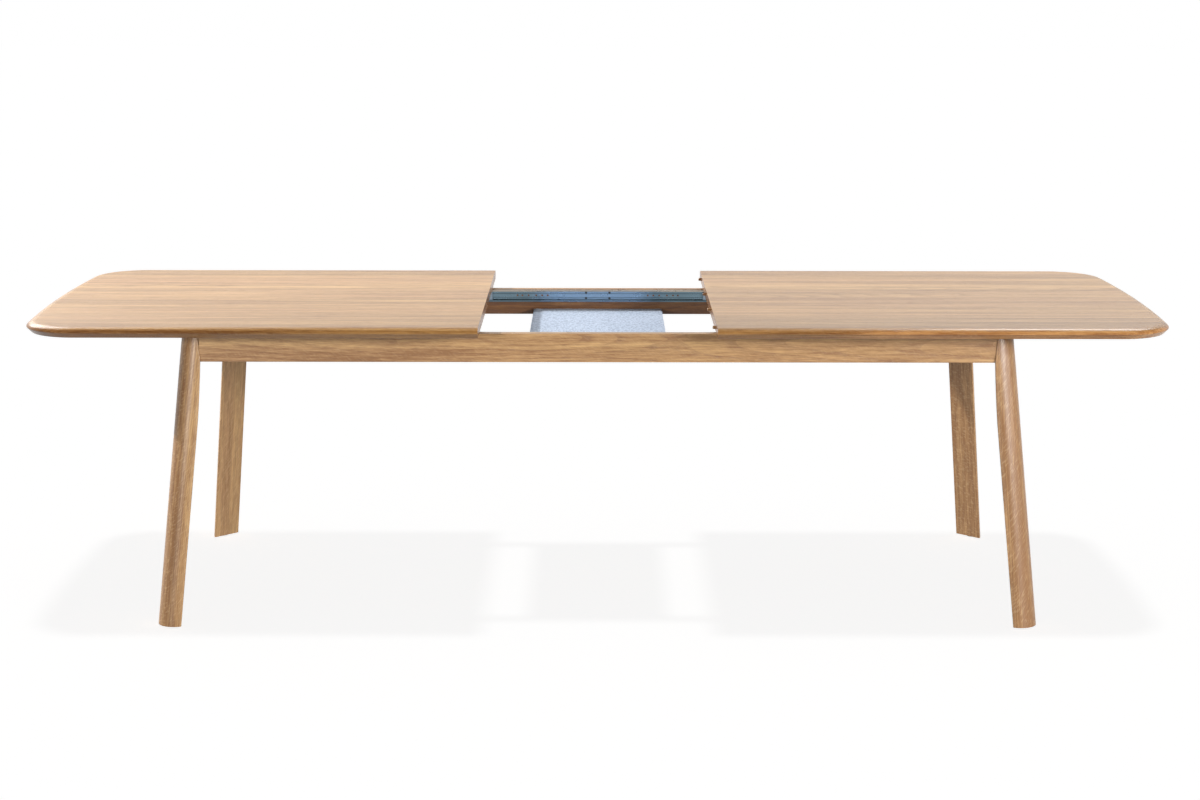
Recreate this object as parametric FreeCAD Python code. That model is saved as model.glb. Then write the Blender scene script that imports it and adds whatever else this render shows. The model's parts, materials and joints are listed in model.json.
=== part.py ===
import FreeCAD, Part
import os
from math import cos, pi, sin, sqrt

V = FreeCAD.Vector

# Extending dining table: its top is cut across the middle, and the two halves draw apart on ball slides.
# Millimetres. The origin is on the floor under the middle, +X runs along the table to the right,
# +Y to the back and +Z up. Pieces are modelled at the right and the back and mirrored to the other sides.

# Overall
table_height = 750.0
top_width = 1000.0
half_length = 1110.0
leaf_gap = 570.0

# Top halves
top_thickness = 25.0
end_bow = 23.0
corner_radius = 135.0
edge_round = 12.0
edge_bevel = 12.0
edge_limit_share = 0.48

# Dowels that line up the halves
dowel_radius = 4.0
dowel_barrel_radius = 4.5
dowel_depth = 22.0
dowel_reach = 8.0
dowel_tip = 1.2
dowel_tip_share = 0.7
dowel_play = 0.3
dowel_end_room = 3.0
dowel_place_shares = (-0.40, -0.13, 0.13, 0.40)

# Frame of four aprons
frame_length = 2024.0
frame_width = 752.0
top_clearance = 8.0
apron_height = 70.0
apron_thickness = 24.0
apron_edge = 1.5
corner_cut = 44.5
corner_reveal = 3.0

# Corner blocks
block_wing = 60.0
block_inset = 2.0

# Legs, half round with the flat side facing the middle of the table
leg_width = 82.0
leg_depth = 31.0
leg_edge = 2.5
leg_top_edge = 2.0
seat_drop = 36.0
turn_length = 147.0
turn_steps = 4
turn_power = 1.4
splay_x_share = 0.093
splay_y_share = 0.124

# Leg bolts, their washers and the threaded inserts in the legs
bolt_radius = 3.0
bolt_head_radius = 5.0
bolt_head_height = 6.0
bolt_play = 0.4
bolt_height_shares = (0.26, 0.62)
washer_radius = 9.0
washer_thickness = 1.6
insert_radius = 5.0
insert_length = 12.0
insert_end_room = 1.0

# Wood screws
screw_radius = 2.0
screw_head_radius = 4.0
screw_head_height = 2.4
screw_head_play = 0.5
socket_share = 0.5
socket_depth_share = 0.6
head_round_share = 0.25
corner_screw_seat = 12.0
corner_screw_grip = 16.0
corner_screw_place_share = 0.35
corner_screw_height_shares = (0.28, 0.72)

# Nailed nylon glides, under the feet and on top of the end aprons
glide_radius = 10.0
glide_height = 3.0
glide_place_share = 0.48
glide_round_share = 0.33
pad_play = 0.3
pad_place_share = 0.6
nail_radius = 1.5
nail_length = 14.0

# Felted board between the long aprons, on which the loose leaf is kept
board_length = 350.0
board_thickness = 13.5
felt_thickness = 2.5
rebate_depth = 9.0
board_play = 0.3
board_screw_grip = 14.0
board_screw_place_shares = (-0.36, 0.36)
board_screw_radius = 1.75
board_screw_head_radius = 3.4

# Ball slides, one channel on each long apron and two rails in each channel
channel_length = 1200.0
slide_height = 32.0
slide_depth = 13.0
slide_drop = 1.0
sheet = 1.4
sheet_round_share = 0.35
channel_lip = 2.6
rail_setback = 2.0
rail_end_margin = 13.0
rail_proud = 1.5
rail_lip = 1.3
stop_length = 4.0
stop_height = 2.2
stop_inset = 3.0
groove_height = 1.6
groove_depth = 0.4
channel_hole_radius = 2.6
channel_hole_shares = (0.228, 0.253, 0.280, 0.315, 0.343, 0.365)
channel_screw_radius = 1.9
channel_screw_head_radius = 3.3
channel_screw_grip = 15.0
channel_screw_shares = (-0.86, -0.62, -0.0533, 0.0533, 0.62, 0.86)
channel_screw_height_share = 0.235

# Balls and their cages
ball_radius = 2.0
ball_play = 0.15
ball_pitch = 24.0
race_room = 1.2
cage_sheet = 0.6
cage_end_room = 46.0
cage_lip_room = 0.4
cage_hole_play = 0.1

# Wooden runners that carry the halves on the rails
runner_height = 50.0
runner_thickness = 20.0
runner_setback = 15.0
runner_end_room = 13.5
runner_edge = 2.0
rail_screw_grip = 14.0
rail_screw_shares = (0.12, 0.50, 0.88)
runner_screw_length = 45.0
runner_screw_grip = 14.0
runner_screw_shares = (0.04, 0.30, 0.70, 0.96)

# Play round every fixed screw, nail, dowel and insert, the run past a cut face, and the smallest real size
fit_play = 0.1
overrun = 1.0
hair = 0.001

# Levels and faces worked out from the sizes above
underside = table_height - top_thickness
apron_top = underside - top_clearance
apron_bottom = apron_top - apron_height
frame_end = frame_length / 2
frame_side = frame_width / 2
side_inner = frame_side - apron_thickness
end_inner = frame_end - apron_thickness
side_stop = frame_end - corner_cut
end_stop = frame_side - corner_cut
cut_x = leaf_gap / 2
dowel_z = underside + top_thickness / 2
rebate_height = board_thickness + felt_thickness
board_side = side_inner + rebate_depth - board_play
board_screw_y = side_inner + rebate_depth / 2
block_start_x = side_stop - block_wing
block_start_y = end_stop - block_wing
outward = V(1, 1, 0).normalize()
along_flat = V(-1, 1, 0).normalize()
seat_middle = V(frame_end - corner_cut / 2, frame_side - corner_cut / 2, 0)
block_middle = V((block_start_x + end_inner) / 2, (side_inner + block_start_y) / 2, 0)
block_depth = (seat_middle - block_middle).Length
seat_start = apron_bottom - seat_drop
turn_start = apron_bottom - turn_length
channel_end = channel_length / 2
slide_z = apron_top - slide_drop - slide_height / 2
channel_half = slide_height / 2
channel_front = side_inner - slide_depth
channel_inside = channel_half - sheet
ball_z = channel_inside - ball_play - ball_radius
ball_y = channel_front + sheet + race_room + ball_radius
rail_half = ball_z - ball_radius - ball_play
rail_face = channel_front - rail_proud
rail_back = ball_y + ball_radius + race_room + sheet
runner_start = cut_x + runner_setback
runner_stop = block_start_x - runner_end_room
rail_start = cut_x + rail_setback
rail_stop = runner_stop - rail_end_margin
cage_start = rail_start + cage_end_room
cage_stop = channel_end - cage_end_room
cage_front = channel_front + sheet + cage_lip_room
cage_back = (rail_back + side_inner - sheet + cage_sheet) / 2

corners = {"front_left": (-1, -1), "front_right": (1, -1), "back_left": (-1, 1), "back_right": (1, 1)}
ends = {"left": -1, "right": 1}
sides = {"front": -1, "back": 1}


# Shared shapes

def slab(x_span, y_span, z_span):
    """A box between two values along each axis, given in either order."""
    low = V(min(x_span), min(y_span), min(z_span))
    high = V(max(x_span), max(y_span), max(z_span))
    size = high - low
    return Part.makeBox(size.x, size.y, size.z, low)


def prism(points, bottom, top):
    """An upright prism on a plan outline."""
    outline = [V(x, y, bottom) for x, y in points]
    return Part.Face(Part.makePolygon(outline + outline[:1])).extrude(V(0, 0, top - bottom))


def turned(shape, place, direction):
    """A piece modelled along +Z, set at a place and turned along a direction."""
    shape.Placement = FreeCAD.Placement(place, FreeCAD.Rotation(V(0, 0, 1), direction))
    return shape


def hole(place, direction, radius, depth):
    """The cutter for a round hole that starts at a place on a face and runs into the piece."""
    return Part.makeCylinder(radius, depth + overrun, place - direction * overrun, direction)


def mirrored(shape, x_side, y_side):
    """A piece modelled at the right and back, mirrored to its own side."""
    if x_side < 0:
        shape = shape.mirror(V(0, 0, 0), V(1, 0, 0))
    if y_side < 0:
        shape = shape.mirror(V(0, 0, 0), V(0, 1, 0))
    return shape


def edges_along(shape, axis, test):
    """The straight edges of a shape that run along X or Y and whose middle passes a test."""
    found = []
    for edge in shape.Edges:
        size = edge.BoundBox
        across = {"x": size.YLength, "y": size.XLength}[axis]
        if across < hair and size.ZLength < hair and test(size.Center):
            found.append(edge)
    return found


def socket_cut(head_radius, head_height):
    """The cutter for a six-sided socket in the end of a head that stands below the origin."""
    reach = head_radius * socket_share
    outline = [(reach * cos(k * pi / 3), reach * sin(k * pi / 3)) for k in range(6)]
    return prism(outline, -head_height - overrun, -head_height * (1 - socket_depth_share))


def round_head_screw(radius, length, head_radius, head_height):
    """A screw along +Z with its head below the origin and its shank above."""
    shank = Part.makeCylinder(radius, length)
    head = Part.makeCylinder(head_radius, head_height, V(0, 0, -head_height))
    rim = [edge for edge in head.Edges if edge.Closed and edge.BoundBox.ZMax < -head_height / 2]
    head = head.makeFillet(head_height * head_round_share, rim)
    return head.fuse(shank).removeSplitter().cut(socket_cut(head_radius, head_height))


def flat_head_screw(radius, length, head_radius, head_height):
    """A countersunk screw along +Z with the face of its head at the origin."""
    shank = Part.makeCylinder(radius, length)
    head = Part.makeCone(head_radius, radius, head_height)
    socket = socket_cut(head_radius, head_height)
    socket.translate(V(0, 0, head_height))
    return head.fuse(shank).removeSplitter().cut(socket)


def countersink(radius, depth, head_radius, head_height):
    """The cutter for a countersunk screw along +Z, with play all round."""
    bore = Part.makeCylinder(radius + fit_play, depth + overrun, V(0, 0, 0))
    mouth = Part.makeCone(head_radius + fit_play, radius + fit_play, head_height)
    lead = Part.makeCylinder(head_radius + fit_play, overrun, V(0, 0, -overrun))
    return bore.fuse([mouth, lead])


def nail_glide(height):
    """A nylon disc below the origin with its nail above it."""
    disc = Part.makeCylinder(glide_radius, height, V(0, 0, -height))
    rim = [edge for edge in disc.Edges if edge.Closed and edge.BoundBox.ZMax < -height / 2]
    disc = disc.makeFillet(glide_height * glide_round_share, rim)
    return disc.fuse(Part.makeCylinder(nail_radius, nail_length)).removeSplitter()


# Top halves

def rim_edges(shape, level):
    """The edges round a half at a level, without those of its cut."""
    found = []
    for edge in shape.Edges:
        size = edge.BoundBox
        if abs(size.ZMin - level) < hair and size.ZLength < hair and size.XLength > hair:
            found.append(edge)
    return found


def top_blank():
    """The right half: straight sides, a bowed end and round corners, its edge round above and bevelled below."""
    end_x = cut_x + half_length
    side = top_width / 2
    bow_radius = (side ** 2 + end_bow ** 2) / (2 * end_bow)
    bow_centre = V(end_x - bow_radius, 0, underside)
    corner_y = side - corner_radius
    reach = bow_radius - corner_radius
    corner_centre = V(bow_centre.x + sqrt(reach ** 2 - corner_y ** 2), corner_y, underside)
    to_bow = (corner_centre - bow_centre).normalize()
    bow_start = corner_centre + to_bow * corner_radius
    corner_middle = corner_centre + (to_bow + V(0, 1, 0)).normalize() * corner_radius
    side_start = corner_centre + V(0, corner_radius, 0)
    back_cut = V(cut_x, side, underside)

    def front(point):
        return V(point.x, -point.y, point.z)

    outline = Part.Wire([
        Part.LineSegment(front(back_cut), front(side_start)).toShape(),
        Part.Arc(front(side_start), front(corner_middle), front(bow_start)).toShape(),
        Part.Arc(front(bow_start), V(end_x, 0, underside), bow_start).toShape(),
        Part.Arc(bow_start, corner_middle, side_start).toShape(),
        Part.LineSegment(side_start, back_cut).toShape(),
        Part.LineSegment(back_cut, front(back_cut)).toShape(),
    ])
    blank = Part.Face(outline).extrude(V(0, 0, top_thickness))
    limit = top_thickness * edge_limit_share
    blank = blank.makeFillet(min(edge_round, limit), rim_edges(blank, table_height))
    return blank.makeChamfer(min(edge_bevel, limit), rim_edges(blank, underside))


def dowel_places():
    """The middle of each dowel on the right half's cut face."""
    return [V(cut_x, share * top_width, dowel_z) for share in dowel_place_shares]


def dowel(place):
    """One dowel: a barrel glued into the right half, and a slimmer tipped pin standing out to the left."""
    pin_end = dowel_depth + dowel_reach - dowel_tip
    barrel = Part.makeCylinder(dowel_barrel_radius, dowel_depth)
    pin = Part.makeCylinder(dowel_radius, pin_end)
    tip = Part.makeCone(dowel_radius, dowel_radius * dowel_tip_share, dowel_tip, V(0, 0, pin_end))
    return turned(barrel.fuse([pin, tip]).removeSplitter(), place + V(dowel_depth, 0, 0), V(-1, 0, 0))


def top_half(end):
    """A finished half with its pilot holes from below and its dowel holes in the cut face."""
    cutters = []
    for y_side in sides.values():
        for place in runner_screw_places():
            start = V(place.x, place.y, underside)
            pilot = hole(start, V(0, 0, 1), screw_radius + fit_play, runner_screw_grip)
            cutters.append(mirrored(pilot, 1, y_side))
    if end == "right":
        radius = dowel_barrel_radius + fit_play
        depth = dowel_depth + fit_play
    else:
        radius = dowel_radius + dowel_play
        depth = dowel_reach + dowel_end_room
    for place in dowel_places():
        cutters.append(hole(place, V(1, 0, 0), radius, depth))
    return mirrored(top_blank().cut(cutters), ends[end], 1)


# Runners under the halves

def runner_screw_places():
    """The head seats of one runner's screws, at the right and back."""
    length = runner_stop - runner_start
    seat = underside + runner_screw_grip - runner_screw_length
    middle = rail_face - runner_thickness / 2
    return [V(runner_start + share * length, middle, seat) for share in runner_screw_shares]


def rail_screw_places():
    """The head seats of one rail's screws, on the web's side towards the apron."""
    length = rail_stop - rail_start
    return [V(rail_start + share * length, rail_face + sheet, slide_z) for share in rail_screw_shares]


def runner():
    """A wooden batten fixed under the top and screwed to the rail beside it."""
    inner = rail_face - runner_thickness
    bottom = underside - runner_height
    batten = slab((runner_start, runner_stop), (inner, rail_face), (bottom, underside))
    low_edges = edges_along(batten, "x", lambda c: c.z < bottom + hair)
    batten = batten.makeFillet(runner_edge, low_edges)
    cutters = []
    for seat in runner_screw_places():
        cutters.append(hole(seat, V(0, 0, 1), screw_radius + fit_play, runner_height))
        cutters.append(hole(seat, V(0, 0, -1), screw_head_radius + screw_head_play, runner_height))
    for seat in rail_screw_places():
        face = V(seat.x, rail_face, seat.z)
        cutters.append(hole(face, V(0, -1, 0), screw_radius + fit_play, rail_screw_grip + fit_play))
    return batten.cut(cutters)


def runner_screws(x_side):
    """The screws up through one half's two runners into the top."""
    group = []
    for y_side in sides.values():
        for seat in runner_screw_places():
            piece = round_head_screw(screw_radius, runner_screw_length, screw_head_radius, screw_head_height)
            group.append(mirrored(turned(piece, seat, V(0, 0, 1)), x_side, y_side))
    return Part.makeCompound(group)


def rail_screws(x_side):
    """The screws through one half's two rails into its runners."""
    group = []
    for y_side in sides.values():
        for seat in rail_screw_places():
            length = sheet + rail_screw_grip
            piece = round_head_screw(screw_radius, length, screw_head_radius, screw_head_height)
            group.append(mirrored(turned(piece, seat, V(0, -1, 0)), x_side, y_side))
    return Part.makeCompound(group)


# Ball slides

def softened(shape):
    """A rolled steel section with the bends and edges that run along X rounded."""
    return shape.makeFillet(sheet * sheet_round_share, edges_along(shape, "x", lambda c: True))


def channel_screw_places():
    """The head faces of the back channel's screws, on the web's side towards the middle of the table."""
    places = []
    for share in channel_screw_shares:
        for row in (-1, 1):
            rise = row * slide_height * channel_screw_height_share
            places.append(V(share * channel_end, side_inner - sheet, slide_z + rise))
    return places


def channel():
    """The fixed channel on the back apron: web, flanges and lips, with its holes and cage stops."""
    span = (-channel_end, channel_end)
    web_face = side_inner - sheet
    pieces = []
    for row in (-1, 1):
        edge = slide_z + row * channel_half
        inside = slide_z + row * channel_inside
        pieces.append(slab(span, (channel_front, side_inner), (inside, edge)))
        lip = inside - row * channel_lip
        pieces.append(slab(span, (channel_front, channel_front + sheet), (lip, edge)))
    web = slab(span, (web_face, side_inner), (slide_z - channel_half, slide_z + channel_half))
    section = softened(web.fuse(pieces).removeSplitter())
    groove_side = groove_height / 2
    groove_end = channel_end + overrun
    groove = slab((-groove_end, groove_end), (web_face - overrun, web_face + groove_depth),
                  (slide_z - groove_side, slide_z + groove_side))
    cutters = [groove]
    for share in channel_hole_shares:
        for x_side in ends.values():
            place = V(x_side * share * channel_end, web_face, slide_z)
            cutters.append(hole(place, V(0, 1, 0), channel_hole_radius, sheet + overrun))
    for place in channel_screw_places():
        cutter = countersink(channel_screw_radius, sheet, channel_screw_head_radius, sheet)
        cutters.append(turned(cutter, place, V(0, 1, 0)))
    stops = []
    for x_side in ends.values():
        for row in (-1, 1):
            outer = x_side * (channel_end - stop_inset)
            inside = slide_z + row * channel_inside
            inner = outer - x_side * stop_length
            stops.append(slab((outer, inner), (ball_y - ball_radius, ball_y + ball_radius),
                              (inside, inside - row * stop_height)))
    return section.cut(cutters).fuse(stops).removeSplitter()


def channel_screws():
    """The countersunk screws of both channels."""
    group = []
    for y_side in sides.values():
        for place in channel_screw_places():
            length = sheet + channel_screw_grip
            piece = flat_head_screw(channel_screw_radius, length, channel_screw_head_radius, sheet)
            group.append(mirrored(turned(piece, place, V(0, 1, 0)), 1, y_side))
    return Part.makeCompound(group)


def rail():
    """A sliding rail: its web on the runner, its flanges between the balls."""
    span = (rail_start, rail_stop)
    web = slab(span, (rail_face, rail_face + sheet), (slide_z - rail_half, slide_z + rail_half))
    pieces = []
    for row in (-1, 1):
        race = slide_z + row * rail_half
        inside = race - row * sheet
        pieces.append(slab(span, (rail_face, rail_back), (inside, race)))
        pieces.append(slab(span, (rail_back - sheet, rail_back), (inside, race + row * rail_lip)))
    section = softened(web.fuse(pieces).removeSplitter())
    cutters = []
    for seat in rail_screw_places():
        cutters.append(hole(seat, V(0, -1, 0), screw_radius + fit_play, sheet + overrun))
    return section.cut(cutters)


def ball_places():
    """The middles of one cage's balls, in an upper and a lower row."""
    room = cage_stop - cage_start
    count = max(int(room / ball_pitch), 1)
    first = (cage_start + cage_stop - (count - 1) * ball_pitch) / 2
    places = []
    for row in (-1, 1):
        for k in range(count):
            places.append(V(first + k * ball_pitch, ball_y, slide_z + row * ball_z))
    return places


def ball_cage():
    """The bent strip that keeps the balls of one rail apart."""
    span = (cage_start, cage_stop)
    half = cage_sheet / 2
    reach = ball_z + half
    web = slab(span, (cage_back - cage_sheet, cage_back), (slide_z - reach, slide_z + reach))
    arms = []
    for row in (-1, 1):
        middle = slide_z + row * ball_z
        arms.append(slab(span, (cage_front, cage_back), (middle - half, middle + half)))
    cutters = []
    for place in ball_places():
        low = place - V(0, 0, half)
        cutters.append(hole(low, V(0, 0, 1), ball_radius + cage_hole_play, cage_sheet + overrun))
    return web.fuse(arms).removeSplitter().cut(cutters)


def balls():
    """The balls of one cage."""
    return Part.makeCompound([Part.makeSphere(ball_radius, place) for place in ball_places()])


# Frame

def corner_screw_seats():
    """The head seats and directions of one corner's screws, through the block into both aprons."""
    seats = []
    for share in corner_screw_height_shares:
        level = apron_bottom + share * apron_height
        along = corner_screw_place_share * block_wing
        seats.append((V(block_start_x + along, side_inner - corner_screw_seat, level), V(0, 1, 0)))
        seats.append((V(end_inner - corner_screw_seat, block_start_y + along, level), V(1, 0, 0)))
    return seats


def corner_screw_holes(direction):
    """The pilot holes of one corner's screws in the apron that lies across a direction."""
    cutters = []
    depth = corner_screw_seat + corner_screw_grip + fit_play
    for seat, way in corner_screw_seats():
        if way == direction:
            cutters.append(hole(seat, way, screw_radius + fit_play, depth))
    return cutters


def board_screw_places():
    """The head faces of the board's screws along the back apron, on the board's underside."""
    return [V(share * board_length, board_screw_y, apron_bottom) for share in board_screw_place_shares]


def board_screw_cutters():
    """The countersunk holes of the board's screws along the back edge."""
    depth = rebate_height + board_screw_grip + fit_play
    head = board_screw_head_radius - board_screw_radius
    cutters = []
    for place in board_screw_places():
        cutter = countersink(board_screw_radius, depth, board_screw_head_radius, head)
        cutters.append(turned(cutter, place, V(0, 0, 1)))
    return cutters


def side_apron():
    """The back apron, rebated along its lower inner edge for the board."""
    span = (-side_stop, side_stop)
    plank = slab(span, (side_inner, frame_side), (apron_bottom, apron_top))
    eased = edges_along(plank, "x", lambda c: c.y > side_inner + hair or c.z > apron_bottom + hair)
    plank = plank.makeFillet(apron_edge, eased)
    rebate_top = apron_bottom + rebate_height
    rebate_end = side_stop + overrun
    rebate = slab((-rebate_end, rebate_end), (side_inner - overrun, side_inner + rebate_depth),
                  (apron_bottom - overrun, rebate_top))
    cutters = [rebate]
    for place in board_screw_places():
        ceiling = V(place.x, place.y, rebate_top)
        cutters.append(hole(ceiling, V(0, 0, 1), board_screw_radius + fit_play, board_screw_grip + fit_play))
    for place in channel_screw_places():
        face = V(place.x, side_inner, place.z)
        radius = channel_screw_radius + fit_play
        cutters.append(hole(face, V(0, 1, 0), radius, channel_screw_grip + fit_play))
    for x_side in ends.values():
        cutters += [mirrored(cutter, x_side, 1) for cutter in corner_screw_holes(V(0, 1, 0))]
    return plank.cut(cutters)


def pad_place():
    """The seat of the glide on the end apron's top edge, at the right and back."""
    return V(frame_end - apron_thickness / 2, pad_place_share * end_stop, apron_top)


def end_apron():
    """The right end apron with the nail holes of its two glides."""
    plank = slab((end_inner, frame_end), (-end_stop, end_stop), (apron_bottom, apron_top))
    eased = edges_along(plank, "y", lambda c: c.x > end_inner + hair)
    plank = plank.makeFillet(apron_edge, eased)
    cutters = []
    for y_side in sides.values():
        nail = hole(pad_place(), V(0, 0, -1), nail_radius + fit_play, nail_length + fit_play)
        cutters.append(mirrored(nail, 1, y_side))
        cutters += [mirrored(cutter, 1, y_side) for cutter in corner_screw_holes(V(1, 0, 0))]
    return plank.cut(cutters)


def leg_bolt_places():
    """Where one leg's two bolts pass the inner face of the corner block."""
    levels = [apron_bottom + share * apron_height for share in bolt_height_shares]
    return [V(block_middle.x, block_middle.y, level) for level in levels]


def corner_block():
    """The block that joins two aprons and gives the leg its upright seat across the corner."""
    notch = corner_reveal
    outline = [
        (side_stop, side_inner), (side_stop, frame_side - notch), (side_stop + notch, frame_side - notch),
        (frame_end - notch, end_stop + notch), (frame_end - notch, end_stop), (end_inner, end_stop),
        (end_inner, block_start_y), (block_start_x, side_inner),
    ]
    block = prism(outline, apron_bottom + block_inset, apron_top - block_inset)
    cutters = []
    for place in leg_bolt_places():
        cutters.append(hole(place, outward, bolt_radius + bolt_play, block_depth + overrun))
    for seat, way in corner_screw_seats():
        cutters.append(hole(seat, way, screw_radius + fit_play, corner_screw_seat + overrun))
        cutters.append(hole(seat, way * -1, screw_head_radius + screw_head_play, block_wing))
    return block.cut(cutters)


def corner_screws():
    """The screws of all four corners."""
    group = []
    for x_side, y_side in corners.values():
        for seat, way in corner_screw_seats():
            length = corner_screw_seat + corner_screw_grip
            piece = round_head_screw(screw_radius, length, screw_head_radius, screw_head_height)
            group.append(mirrored(turned(piece, seat, way), x_side, y_side))
    return Part.makeCompound(group)


# Legs

def flat_middle(level):
    """The middle of the leg's flat side at a level, on the straight splayed line that meets the seat's plane
    at the seat's start."""
    rise = seat_start - level
    return V(seat_middle.x + splay_x_share * rise, seat_middle.y + splay_y_share * rise, level)


def leg_section(level, trim, edge):
    """The leg's half-round outline at a level, with its flat side trimmed back and its two edges rounded."""
    radius = (leg_width ** 2 / 4 + leg_depth ** 2) / (2 * leg_depth)
    centre = V(0, leg_depth - radius, 0)
    edge_y = trim + edge
    edge_x = sqrt((radius - edge) ** 2 - (edge_y - centre.y) ** 2)
    edge_centre = V(edge_x, edge_y, 0)
    to_round = (edge_centre - centre).normalize()
    points = [
        V(edge_x, trim, 0),
        edge_centre + (to_round + V(0, -1, 0)).normalize() * edge,
        edge_centre + to_round * edge,
    ]

    def placed(point, way):
        return flat_middle(level) + along_flat * (point.x * way) + outward * point.y

    near = [placed(point, 1) for point in points]
    far = [placed(point, -1) for point in points]
    return Part.Wire([
        Part.LineSegment(far[0], near[0]).toShape(),
        Part.Arc(near[0], near[1], near[2]).toShape(),
        Part.Arc(near[2], placed(V(0, leg_depth, 0), 1), far[2]).toShape(),
        Part.Arc(far[2], far[1], far[0]).toShape(),
    ])


def foot_glide_place():
    """The seat of the glide under the foot."""
    return flat_middle(glide_height) + outward * (leg_depth * glide_place_share)


def leg():
    """A splayed half-round leg whose flat side turns in below the aprons and is upright on the corner."""
    seat_trim = (seat_middle - flat_middle(apron_bottom)).dot(outward)
    top_trim = (seat_middle - flat_middle(apron_top)).dot(outward)
    sections = [leg_section(glide_height, 0, leg_edge)]
    for step in range(turn_steps + 1):
        share = step / turn_steps
        level = turn_start + share * turn_length
        sections.append(leg_section(level, seat_trim * share ** turn_power, leg_edge))
    sections.append(leg_section(apron_top, top_trim, leg_top_edge))
    body = Part.makeLoft(sections, True, True)
    cutters = [hole(foot_glide_place(), V(0, 0, 1), nail_radius + fit_play, nail_length + fit_play)]
    for place in leg_bolt_places():
        seat = place + outward * block_depth
        cutters.append(hole(seat, outward, insert_radius + fit_play, insert_length + insert_end_room))
    return body.cut(cutters)


def leg_hardware():
    """The bolts, washers and threaded inserts of all four legs, as three groups."""
    bolts = []
    washers = []
    inserts = []
    length = washer_thickness + block_depth + insert_length
    for x_side, y_side in corners.values():
        for place in leg_bolt_places():
            under_head = place - outward * washer_thickness
            bolt = round_head_screw(bolt_radius, length, bolt_head_radius, bolt_head_height)
            bolts.append(mirrored(turned(bolt, under_head, outward), x_side, y_side))
            bore = Part.makeCylinder(bolt_radius + fit_play, washer_thickness)
            washer = Part.makeCylinder(washer_radius, washer_thickness).cut(bore)
            washers.append(mirrored(turned(washer, under_head, outward), x_side, y_side))
            thread = Part.makeCylinder(bolt_radius + fit_play, insert_length)
            insert = Part.makeCylinder(insert_radius, insert_length).cut(thread)
            inserts.append(mirrored(turned(insert, place + outward * block_depth, outward), x_side, y_side))
    return bolts, washers, inserts


def glide_pads():
    """The glides on both end aprons that carry the outer ends of the halves."""
    group = []
    for x_side, y_side in corners.values():
        pad = turned(nail_glide(top_clearance - pad_play), pad_place(), V(0, 0, -1))
        group.append(mirrored(pad, x_side, y_side))
    return Part.makeCompound(group)


# Board for the leaf

def leaf_board():
    """The board in the rebates of the long aprons."""
    reach = board_length / 2
    board = slab((-reach, reach), (-board_side, board_side), (apron_bottom, apron_bottom + board_thickness))
    cutters = board_screw_cutters()
    cutters += [mirrored(cutter, 1, -1) for cutter in board_screw_cutters()]
    return board.cut(cutters)


def leaf_felt():
    """The felt glued over the board."""
    reach = board_length / 2
    bottom = apron_bottom + board_thickness
    felt = slab((-reach, reach), (-board_side, board_side), (bottom, bottom + felt_thickness))
    cutters = board_screw_cutters()
    cutters += [mirrored(cutter, 1, -1) for cutter in board_screw_cutters()]
    return felt.cut(cutters)


def board_screws():
    """The screws up through the board into the long aprons."""
    group = []
    head = board_screw_head_radius - board_screw_radius
    for y_side in sides.values():
        for place in board_screw_places():
            length = rebate_height + board_screw_grip
            piece = flat_head_screw(board_screw_radius, length, board_screw_head_radius, head)
            group.append(mirrored(turned(piece, place, V(0, 0, 1)), 1, y_side))
    return Part.makeCompound(group)


# All pieces by name

def build():
    """Every named piece of the table in its place, drawn open."""
    pieces = {}
    for end, x_side in ends.items():
        pieces[end + "_top"] = top_half(end)
        pieces[end + "_end_apron"] = mirrored(end_apron(), x_side, 1)
        pieces[end + "_runner_screws"] = runner_screws(x_side)
        pieces[end + "_rail_screws"] = rail_screws(x_side)
    for side, y_side in sides.items():
        pieces[side + "_apron"] = mirrored(side_apron(), 1, y_side)
        pieces[side + "_slide_channel"] = mirrored(channel(), 1, y_side)
    for corner, (x_side, y_side) in corners.items():
        pieces[corner + "_leg"] = mirrored(leg(), x_side, y_side)
        pieces[corner + "_foot_glide"] = mirrored(
            turned(nail_glide(glide_height), foot_glide_place(), V(0, 0, 1)), x_side, y_side)
        pieces[corner + "_corner_block"] = mirrored(corner_block(), x_side, y_side)
        pieces[corner + "_runner"] = mirrored(runner(), x_side, y_side)
        pieces[corner + "_rail"] = mirrored(rail(), x_side, y_side)
        pieces[corner + "_ball_cage"] = mirrored(ball_cage(), x_side, y_side)
        pieces[corner + "_balls"] = mirrored(balls(), x_side, y_side)
    pieces["dowel_pins"] = Part.makeCompound([dowel(place) for place in dowel_places()])
    bolts, washers, inserts = leg_hardware()
    pieces["leg_bolts"] = Part.makeCompound(bolts)
    pieces["leg_washers"] = Part.makeCompound(washers)
    pieces["leg_inserts"] = Part.makeCompound(inserts)
    pieces["corner_screws"] = corner_screws()
    pieces["channel_screws"] = channel_screws()
    pieces["glide_pads"] = glide_pads()
    pieces["leaf_board"] = leaf_board()
    pieces["leaf_felt"] = leaf_felt()
    pieces["board_screws"] = board_screws()
    return pieces


os.makedirs("parts", exist_ok=True)
for name, shape in build().items():
    shape.exportStep("parts/" + name + ".step")
    print(name, len(shape.Solids), round(shape.Volume), shape.isValid())
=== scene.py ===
import json
import math
import bmesh
import bpy
from mathutils import Matrix, Vector


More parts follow.
